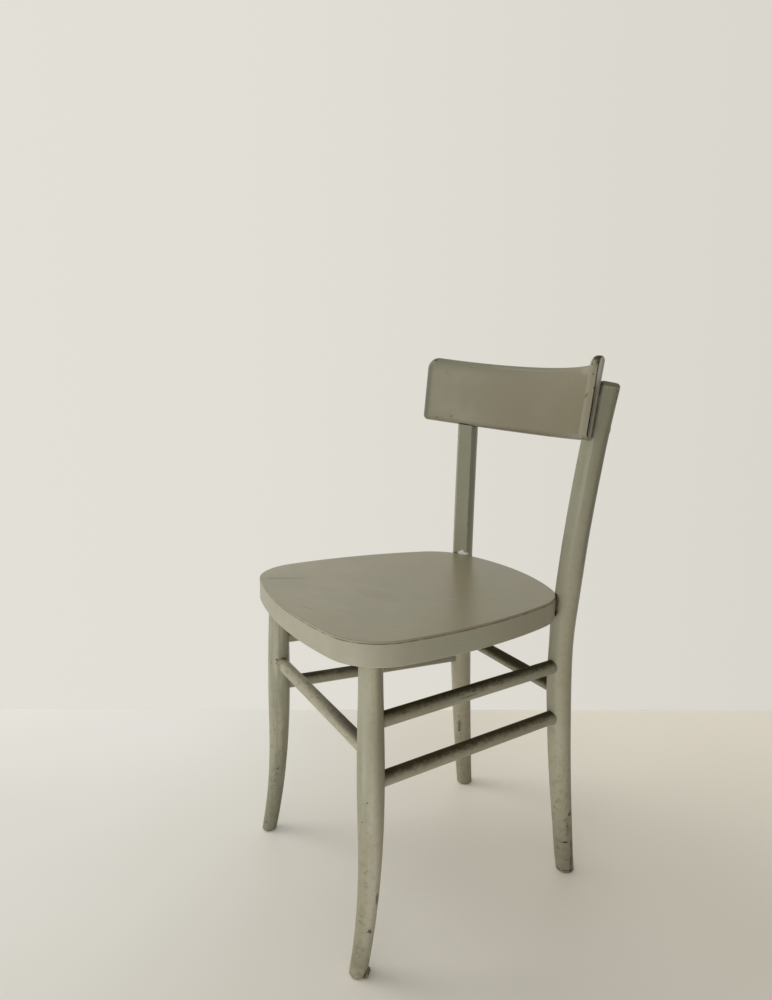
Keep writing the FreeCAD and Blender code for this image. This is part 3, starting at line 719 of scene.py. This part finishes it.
def near_rear_leg_finish():
    """Rear leg on the sitter's left: chipped down its outer edge, with a dark line round the foot."""
    finish = leg_paint("near_rear_leg_paint", 1.26, near_rear_leg_wash, foot=0.12)
    post_top_dirt(finish)
    chips(finish, (0.1549, 0.166, 0.1035, 2.6, LINE_DIRT), (0.155, 0.1685, 0.1075, 1.4, LINE_DIRT),
          (0.1546, 0.1581, 0.0951, 1.0, PAINT_SHADE), (0.1553, 0.1608, 0.0887, 1.3, PAINT_SHADE),
          (0.1555, 0.1619, 0.0834, 1.5, GRIME), (0.1556, 0.1622, 0.0782, 1.3, PAINT_SHADE),
          (0.1553, 0.1609, 0.0707, 1.1, PAINT_SHADE), (0.1464, 0.1466, 0.1252, 1.3, PAINT_SHADE),
          (0.142, 0.146, 0.1144, 1.2, PAINT_SHADE), (0.154, 0.1657, 0.1305, 1.0, GRIME),
          (0.1595, 0.169, 0.4879, 1.6, BARE_WOOD), (0.159, 0.168, 0.478, 1.4, BARE_WOOD),
          (0.1812, 0.1738, 0.7582, 1.0, PALE_WORN), (0.1835, 0.178, 0.7576, 0.9, PALE_WORN),
          (0.18, 0.1715, 0.759, 0.8, PALE_WORN), (0.1832, 0.1905, 0.7431, 1.8, OLD_DIRT),
          (0.1846, 0.19, 0.7527, 1.3, OLD_DIRT))
    stains(finish, ((0.1545, 0.16, 0.0566), (0.006, 0.0014), LINE_DIRT, 1.3, 1.0),
           ((0.1498, 0.1544, 0.0562), (0.005, 0.0009), PAINT_SHADE, 1.1, 1.0),
           ((0.1555, 0.164, 0.077), (0.0045, 0.013), PAINT_SHADE, 2.0, 0.45),
           ((0.1458, 0.1534, 0.0441), (0.004, 0.004), PAINT_SHADE, 1.6, 0.7),
           ((0.1553, 0.1633, 0.026), (0.005, 0.0014), PAINT_SHADE, 1.2, 0.8))
    edge = finish.band(finish.at["Y"], FOOT_REAR_EDGE, 0.003, 0.0012)
    finish.layer((edge, finish.ramp(finish.height, 0.075, 0.05), broken_line(finish), 0.75), GRIME, 0.8)
    line = finish.band(finish.height, FOOT_LINE_HEIGHT, 0.0011, 0.0004)
    finish.layer((line, broken_line(finish, 90.0, 0.3), 0.9), OLD_DIRT, 0.7)
    return finish.done()


def far_rear_leg_wash(finish):
    """Paler below the seat as painted light, down to a duller foot, and greener from the seat up."""
    rear_leg_wash(finish)
    height = finish.height
    # Painted light: paler below the seat
    finish.layer((finish.ramp(height, 0.44, 0.32), 0.9), FAR_LEG_PAINTED_LIGHT)
    finish.layer(finish.ramp(height, 0.18, 0.04, 0.0, 0.8), toned(PAINT_DULL, 1.25))
    finish.layer((finish.ramp(height, 0.34, 0.46), 0.5), toned(PAINT_GREEN, 1.3))


def far_rear_leg_finish():
    """Rear leg on the sitter's right: scratched low down, and darker and chipped white beside the seat."""
    finish = leg_paint("far_rear_leg_paint", 1.26, far_rear_leg_wash, foot=0.12)
    post_top_dirt(finish)
    chips(finish, (-0.1283, 0.1462, 0.1458, 1.4, PAINT_SHADE), (-0.1294, 0.1472, 0.1312, 1.6, GRIME),
          (-0.1297, 0.1489, 0.1166, 1.8, GRIME), (-0.1288, 0.1507, 0.1086, 1.2, PAINT_SHADE))
    finish.mark((-0.1297, 0.1478, 0.124), (0.0022, 0.011), GRIME, turn=(0.0, 0.15, 0.0), ragged=2.2,
                strength=0.8)
    stains(finish, ((-0.128, 0.149, 0.13), (0.0045, 0.013), PAINT_SHADE, 2.0, 0.6),
           ((-0.127, 0.15, 0.008), (0.008, 0.0035), WORN_BROWN, 1.5, 0.8))
    # Darker on its front side just below the seat top
    seat_side = finish.product(finish.ramp(finish.split(finish.normal)["Y"], -0.1, -0.5),
                               finish.ramp(finish.height, SEAT_TOP + 0.003, SEAT_TOP - 0.001))
    finish.layer((seat_side, finish.ramp(finish.height, 0.43, 0.45), 0.5), GRIME, 0.7)
    white_chip(finish)
    return finish.done()


# ---------------- finishes of the stretchers and small parts

def rod_finish(name, stretch, start=0.12, strength=1.0, tone=0.93):
    """Stretcher paint, dark on top with settled dirt and the painted shade that the seat casts, and smeared
    along the sides.
    """
    finish = old_paint(name, stretch, tone=tone, streak=0.9, wear=0, scuff=0.4, reach=0.014)
    drawn_out = tuple(DIRT_AND_SHADE_ALONG if value == min(stretch) else DIRT_AND_SHADE_ACROSS for value in stretch)
    # Dark on what looks up: settled dirt and the painted shade under the seat
    dirt = finish.group(SETTLED_DIRT_AND_SHADE, Vector=finish.place, Stretch=drawn_out, Start=start, Full=start + 0.90)
    finish.layer((dirt["Smears"], 0.6), PAINT_SHADE, 0.7)
    finish.layer((dirt["Mask"], strength), ROD_DIRT_AND_SHADE, 0.75)
    return finish


def side_rod_finish():
    """Side stretchers: dark on top with dirt and painted shade, with a few chips and two long marks on the
    near ones.
    """
    finish = rod_finish("side_rod_paint", ALONG_Y)
    chips(finish, (0.166, -0.044, 0.345, 0.9, OLD_DIRT), (0.1655, -0.035, 0.346, 0.8, OLD_DIRT),
          (0.165, -0.14, 0.327, 0.9, OLD_DIRT), (0.1745, -0.15, 0.27, 0.9, OLD_DIRT),
          (0.156, 0.04, 0.27, 0.8, OLD_DIRT))
    stains(finish, ((0.1655, -0.03, 0.3445), (0.004, 0.022, 0.0016), PAINT_SHADE, 1.6, 1.0),
           ((0.154, 0.05, 0.2725), (0.004, 0.026, 0.0018), WORN_BROWN, 1.6, 0.8))
    return finish.done(specular=0.25)


def front_rod_finish():
    """Front stretcher: rubbed by feet, so its dirt shows only high up, and towards one end its top has dirt
    and painted shade.
    """
    finish = rod_finish("front_rod_paint", ALONG_X, start=0.75, strength=0.45, tone=1.14)
    along = finish.at["X"]
    finish.layer((finish.ramp(along, -0.13, -0.15), broken_line(finish, 120.0, 0.1), 0.7), WORN_BROWN, 0.7)
    # Dirt and painted shade on its top towards one end
    finish.layer((finish.ramp(along, -0.05, 0.13), finish.ramp(finish.up, 0.25, 0.95), 0.85), ROD_DIRT_AND_SHADE, 0.75)
    return finish.done()


def rear_rod_finish():
    """Rear stretcher: dark well down its sides, with dirt and painted shade from the seat above."""
    return rod_finish("rear_rod_paint", ALONG_X, start=-0.30).done(specular=0.2)


def pad_finish(name="pad_plastic", torn=None, painted=0.8):
    """Foot pads: dark plastic smeared with the chair's paint, paler for painted light. Where one is torn, it
    is bare and ragged.
    """
    finish = Finish(name, PAD_PLASTIC, 0.70)
    fine = finish.noise(finish.place, 650.0, 4.0, 0.7)
    dark = finish.ramp(fine, 0.5, 0.6)
    if torn:
        whole = finish.ramp(finish.vector_math("LENGTH", finish.mapping(finish.place, at=-torn)),
                            TORN_REACH + TORN_BORDER, TORN_REACH)
        dark = finish.product(dark, finish.math("SUBTRACT", 1.0, finish.product(whole, 0.7)))
        finish.layer(whole, PAINT)
    else:
        # Smeared paint, paler than the chair's, as painted light against the shade by the floor
        finish.layer(painted, toned(PAINT_PALE, 1.6))
        dark = finish.product(dark, 1.2 - painted)
    finish.layer(dark, PAD_DIRT)
    finish.raise_by(fine, PAD_RELIEF)
    return finish.done(specular=0.3)


def steel_finish():
    """Dull zinc of the nails, screws and washers."""
    finish = Finish("dull_zinc", ZINC, 0.42)
    fine = finish.noise(finish.place, 1500.0, 3.0, 0.6)
    finish.layer(finish.ramp(fine, 0.5, 0.75), ZINC_DULL, 0.6)
    finish.raise_by(fine, ZINC_RELIEF)
    return finish.done(Metallic=1.0)


def dress(material, *names):
    """Gives CAD nodes one finish."""
    for name in names:
        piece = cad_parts[name]
        piece.data.materials.clear()
        piece.data.materials.append(material)


def dress_chair():
    dress(pad_finish(), "foot_pad_rear_left")
    dress(panel_finish(), "seat_panel", "panel_pins")
    dress(ring_finish(), "seat_ring")
    dress(board_finish(), "backrest_board")
    dress(near_front_leg_finish(), "front_leg_left")
    dress(far_front_leg_finish(), "front_leg_right")
    dress(near_rear_leg_finish(), "rear_leg_left")
    dress(far_rear_leg_finish(), "rear_leg_right")
    dress(side_rod_finish(), "side_stretcher_upper_left", "side_stretcher_upper_right",
          "side_stretcher_lower_left", "side_stretcher_lower_right")
    dress(front_rod_finish(), "front_stretcher")
    dress(rear_rod_finish(), "rear_stretcher")
    dress(pad_finish("dirty_pad_plastic", painted=0.2), "foot_pad_front_right", "foot_pad_rear_right")
    dress(steel_finish(), "foot_pad_nails", "backrest_screws", "ring_coach_screws", "ring_washers")
    make_torn_pad()


# ---------------- the torn pad under the near front foot

TORN_SIDE = math.radians(48.0)
TORN_HALF_WIDTH = math.radians(52.0)
# How far each step of the tear goes out and up, its turn in degrees, and its width and thickness after it
TEAR_STEPS = ((0.0034, 0.0011, 30.0, 1.0, 0.9), (0.0028, 0.0024, 30.0, 1.0, 0.9),
              (-0.0004, 0.0036, 20.0, 0.85, 0.9), (-0.0026, 0.0034, 0.0, 0.6, 0.8))
TEAR_ROUGHNESS = 0.0008
TEAR_SEED = 4
TORN_REACH = 0.0120
TORN_BORDER = 0.0008
NAIL_RECESS = 0.0032
NAIL_SUNK = 0.0006
PAD_SIDES = 56
PAD_ROUNDING = 0.0003
SMOOTH_UP_TO = math.radians(40.0)
FACES_DOWN = -0.9


def select_faces(mesh_object, wanted):
    """In edit mode: selects the faces for which wanted(centre, normal) holds, and only those."""
    bpy.ops.mesh.select_all(action="DESELECT")
    bpy.ops.object.mode_set(mode="OBJECT")
    for polygon in mesh_object.data.polygons:
        polygon.select = wanted(polygon.center, polygon.normal)
    bpy.ops.object.mode_set(mode="EDIT")


def make_torn_pad():
    """A foot pad with one side torn loose and turned up against the leg."""
    low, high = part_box("foot_pad_front_left")
    middle = (low + high) / 2
    radius, thickness = (high.x - low.x) / 2, high.z - low.z
    bpy.ops.object.select_all(action="DESELECT")
    bpy.ops.mesh.primitive_cylinder_add(vertices=PAD_SIDES, radius=radius, depth=thickness,
                                        location=(0.0, 0.0, 0.0))
    pad = bpy.context.active_object
    pad.name = "torn_pad"
    bpy.ops.object.mode_set(mode="EDIT")
    bpy.ops.mesh.select_mode(type="FACE")
    select_faces(pad, lambda centre, normal: normal.y > math.cos(TORN_HALF_WIDTH))
    for out, rise, turn, width, thin in TEAR_STEPS:
        bpy.ops.mesh.extrude_region_move(TRANSFORM_OT_translate={"value": (0.0, out, rise)})
        edge = selected_centre(pad)
        bpy.ops.transform.rotate(value=-math.radians(turn), orient_axis="X", center_override=edge)
        bpy.ops.transform.resize(value=(width, thin, thin), center_override=edge)
    select_faces(pad, lambda centre, normal: centre.z > thickness)
    bpy.ops.transform.vertex_random(offset=TEAR_ROUGHNESS, seed=TEAR_SEED)
    select_faces(pad, lambda centre, normal: normal.z < FACES_DOWN and centre.length < thickness)
    bpy.ops.mesh.inset(thickness=radius - NAIL_RECESS)
    bpy.ops.mesh.extrude_region_move(TRANSFORM_OT_translate={"value": (0.0, 0.0, NAIL_SUNK)})
    bpy.ops.mesh.select_all(action="SELECT")
    bpy.ops.transform.rotate(value=math.pi / 2 - TORN_SIDE, orient_axis="Z", center_override=(0.0, 0.0, 0.0))
    bpy.ops.transform.translate(value=middle)
    bpy.ops.object.mode_set(mode="OBJECT")
    soften(pad, "BEVEL", width=PAD_ROUNDING, segments=2)
    soften(pad, "SUBSURF", levels=1, render_levels=1)
    bpy.ops.object.shade_smooth_by_angle(angle=SMOOTH_UP_TO)
    pad.data.materials.append(pad_finish("torn_pad_plastic", middle))
    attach(pad, "root")
    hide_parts("foot_pad_front_left")


def selected_centre(mesh_object):
    """In edit mode: the middle of the selected faces."""
    bpy.ops.object.mode_set(mode="OBJECT")
    centres = [polygon.center.copy() for polygon in mesh_object.data.polygons if polygon.select]
    bpy.ops.object.mode_set(mode="EDIT")
    return sum(centres, Vector()) / len(centres)


def soften(mesh_object, kind, **settings):
    """Adds one modifier and applies it."""
    modifier = mesh_object.modifiers.new(kind.lower(), kind)
    for name, value in settings.items():
        setattr(modifier, name, value)
    bpy.context.view_layer.objects.active = mesh_object
    bpy.ops.object.modifier_apply(modifier=modifier.name)


# ---------------- stage, light and camera

CAMERA_PLACE = Vector((0.95115, -0.57414, 0.78553))
CAMERA_VIEW = Vector((-0.86977, 0.46265, -0.17162)).normalized()
CAMERA_ROLL = math.radians(0.12)
FOCAL_PIXELS = 743.83
FRAME_PIXELS = 1000
SENSOR_MM = 36.0
OFF_CENTRE_X = 3.75
OFF_CENTRE_Y = 3.82


def make_camera():
    """The photo's viewpoint, with the small shift that its framing needs."""
    data = bpy.data.cameras.new("camera")
    data.sensor_width = SENSOR_MM
    data.lens = FOCAL_PIXELS / FRAME_PIXELS * SENSOR_MM
    data.shift_x = -OFF_CENTRE_X / FRAME_PIXELS
    data.shift_y = -OFF_CENTRE_Y / FRAME_PIXELS
    camera = bpy.data.objects.new("camera", data)
    bpy.context.scene.collection.objects.link(camera)
    level = CAMERA_VIEW.cross(Vector((0, 0, 1))).normalized()
    up = level.cross(CAMERA_VIEW)
    across = level * math.cos(CAMERA_ROLL) + up * math.sin(CAMERA_ROLL)
    up = across.cross(CAMERA_VIEW)
    turn = Matrix((across, up, -CAMERA_VIEW)).transposed().to_4x4()
    camera.matrix_world = Matrix.Translation(CAMERA_PLACE) @ turn
    bpy.context.scene.camera = camera


FLOOR_HALF = 6.0
WALL_REACH = 1.617
WALL_HEIGHT = 4.0
FLOOR_COLOUR = (0.860, 0.830, 0.745)
FLOOR_SHADE = (0.820, 0.785, 0.700)
FLOOR_GLOW = (0.92, 0.81, 0.62)
FLOOR_GLOW_LEFT = (0.80, 0.86, 0.90)
FLOOR_PAINTED_LIGHT_NEAR = 0.04
FLOOR_PAINTED_LIGHT_FAR = 0.20
FLOOR_PAINTED_LIGHT_SIDES = 0.045
WALL_COLOUR = (0.770, 0.745, 0.680)
WALL_SHADE = (0.672, 0.650, 0.588)
SKY_STRENGTH = 0.46
WINDOW_SIDE = (-0.469, -0.883, 0.0)
WINDOW_COLOUR = (1.0, 0.985, 0.95, 1.0)
# Each lamp's name, place, what it is turned to, size and power. Three lie on the floor and shine upwards.
LAMPS = (("window", (-1.5, -1.6, 2.3), (0.0, 0.0, 0.4), 1.6, 19.0),
         ("low_window", (1.6, -1.6, 0.5), (0.0, 0.0, 0.35), 1.0, 6.5),
         ("near_floor", (0.50, -0.20, 0.004), (0.50, -0.20, 1.0), 0.5, 0.9),
         ("front_floor", (0.30, -0.90, 0.004), (0.30, -0.90, 1.0), 0.6, 3.2),
         ("far_floor", (-0.60, -1.20, 0.004), (-0.60, -1.20, 1.0), 0.8, 2.0))


def floor_finish():
    """Plain pale floor, whose shadow stays. Cameras see painted light on it, a glow a little brighter towards
    the wall and at the sides.
    """
    finish = Finish("floor_paint", FLOOR_COLOUR, 0.45)
    broad = finish.noise(finish.place, 1.3, 2.0, 0.5)
    finish.layer(finish.ramp(broad, 0.35, 0.7), FLOOR_SHADE)
    finish.done(specular=0.3)
    away = finish.vector_math("DOT_PRODUCT", finish.place, (*CAMERA_VIEW.xy, 0.0))
    # Painted light for cameras: brighter towards the wall and at both sides
    painted_light = finish.ramp(away, -0.6, 0.9, FLOOR_PAINTED_LIGHT_NEAR, FLOOR_PAINTED_LIGHT_FAR)
    right = finish.vector_math("DOT_PRODUCT", finish.place, (CAMERA_VIEW.y, -CAMERA_VIEW.x, 0.0))
    painted_light = finish.math("ADD", painted_light, finish.ramp(right, 0.05, 0.45, 0.0, FLOOR_PAINTED_LIGHT_SIDES))
    painted_light = finish.math("ADD", painted_light, finish.ramp(right, -0.1, -0.6, 0.0, FLOOR_PAINTED_LIGHT_SIDES))
    seen = finish.node("LightPath").outputs["Is Camera Ray"]
    glow_colour = finish.mix(finish.ramp(right, -0.5, 0.2), FLOOR_GLOW_LEFT, FLOOR_GLOW)
    glow = finish.node("Emission", {"Color": glow_colour, "Strength": finish.product(painted_light, seen)})
    finish.feed(finish.output, finish.join("AddShader", finish.surface, glow.outputs[0]))
    return finish.material


def wall_finish():
    """Plain wall, seen only from its front, with painted light a little brighter on the left."""
    finish = Finish("wall_paint", WALL_COLOUR, 0.9)
    # Painted light: brighter on the left
    finish.layer(finish.ramp(finish.at["Y"], -0.6, 1.6), WALL_SHADE)
    glow = finish.node("Emission", {"Color": finish.colour, "Strength": 1.0})
    clear = finish.node("BsdfTransparent")
    facing = finish.node("NewGeometry").outputs["Backfacing"]
    both = finish.join("MixShader", facing, glow.outputs[0], clear.outputs[0])
    finish.feed(finish.node("OutputMaterial").inputs["Surface"], both)
    return finish.material


def stage_plane(name, material, corners):
    """One flat piece of the surroundings."""
    mesh = bpy.data.meshes.new(name)
    mesh.from_pydata(corners, [], [(0, 1, 2, 3)])
    mesh.materials.append(material)
    plane = bpy.data.objects.new(name, mesh)
    bpy.context.scene.collection.objects.link(plane)
    return plane


def make_stage():
    """The floor, and a wall across the camera's view that only cameras and gloss see."""
    half = FLOOR_HALF
    stage_plane("floor", floor_finish(),
                [(-half, -half, 0), (half, -half, 0), (half, half, 0), (-half, half, 0)])
    away = Vector((CAMERA_VIEW.x, CAMERA_VIEW.y, 0)).normalized()
    across = Vector((away.y, -away.x, 0)) * half
    foot = Vector((CAMERA_PLACE.x, CAMERA_PLACE.y, 0)) + away * WALL_REACH
    rise = Vector((0, 0, WALL_HEIGHT))
    corners = [foot - across, foot + across, foot + across + rise, foot - across + rise]
    wall = stage_plane("wall", wall_finish(), corners)
    wall.visible_diffuse = False
    wall.visible_shadow = False


def area_light(name, at, towards, size, power):
    """A round soft lamp that the camera doesn't see."""
    data = bpy.data.lights.new(name, "AREA")
    data.shape = "DISK"
    data.size = size
    data.energy = power
    light = bpy.data.objects.new(name, data)
    bpy.context.scene.collection.objects.link(light)
    light.location = at
    light.rotation_mode = "QUATERNION"
    light.rotation_quaternion = (Vector(towards) - Vector(at)).to_track_quat("-Z", "Y")
    light.visible_camera = False


def make_sky():
    """Soft light, strongest from the window side, and the pale background that cameras and gloss see."""
    world = bpy.data.worlds.new("studio")
    bpy.context.scene.world = world
    world.use_nodes = True
    sky = Tree(world.node_tree)
    world.node_tree.nodes.clear()
    way = sky.node("TexCoord").outputs["Generated"]
    side = sky.math("ADD", sky.vector_math("DOT_PRODUCT", way, WINDOW_SIDE), 1.0)
    soft = sky.node("Background", {"Color": WINDOW_COLOUR, "Strength": sky.product(side, SKY_STRENGTH)})
    pale = sky.node("Background", {"Color": (*WALL_SHADE, 1.0), "Strength": 1.0})
    path = sky.node("LightPath").outputs
    seen = sky.math("MAXIMUM", path["Is Camera Ray"],
                    sky.math("MAXIMUM", path["Is Glossy Ray"], path["Is Transmission Ray"]))
    both = sky.join("MixShader", seen, soft.outputs[0], pale.outputs[0])
    sky.feed(sky.node("OutputWorld").inputs["Surface"], both)


def make_light():
    """The soft room, a high window and a low one, and the glow of the bright floor in front of the chair."""
    make_sky()
    for lamp in LAMPS:
        area_light(*lamp)


# ---------------- build it

bpy.ops.object.select_all(action="DESELECT")
make_camera()
make_light()
make_stage()
dress_chair()
bpy.context.scene.view_settings.view_transform = "Standard"
